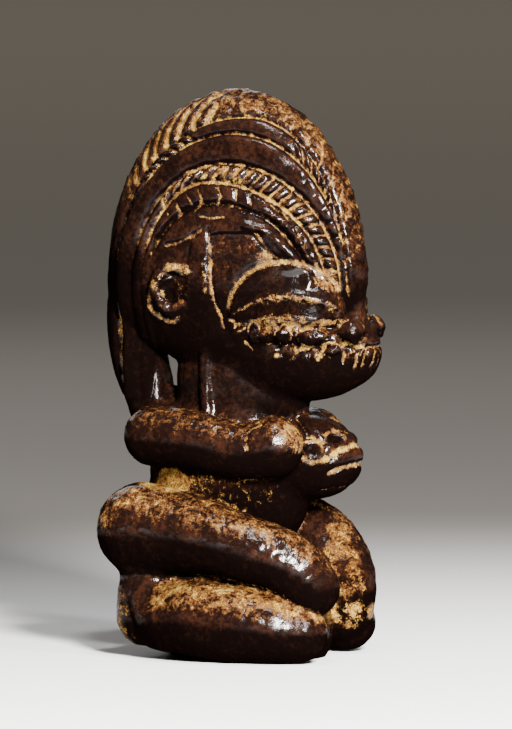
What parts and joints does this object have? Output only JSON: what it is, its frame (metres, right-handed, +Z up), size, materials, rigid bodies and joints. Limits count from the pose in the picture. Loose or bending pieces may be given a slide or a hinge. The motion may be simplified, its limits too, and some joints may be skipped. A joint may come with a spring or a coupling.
{
  "type": "nomoli figure",
  "caption": "Carved steatite nomoli figure that sits on folded legs, hands clasped under the chin, with a huge head and banded coiffure.",
  "frame": {"origin": "middle of the flat underside that the figure sits on", "axes": "+Z up through the head, -Y the way the figure faces, -X its right hand"},
  "size_m": [0.0862, 0.1012, 0.199],
  "materials": {
    "steatite": "glossy dark brown patina, worn to ochre in the grooves"
  },
  "bodies": {
    "root": {"nomoli_figure": "steatite"}
  },
  "joints": []
}
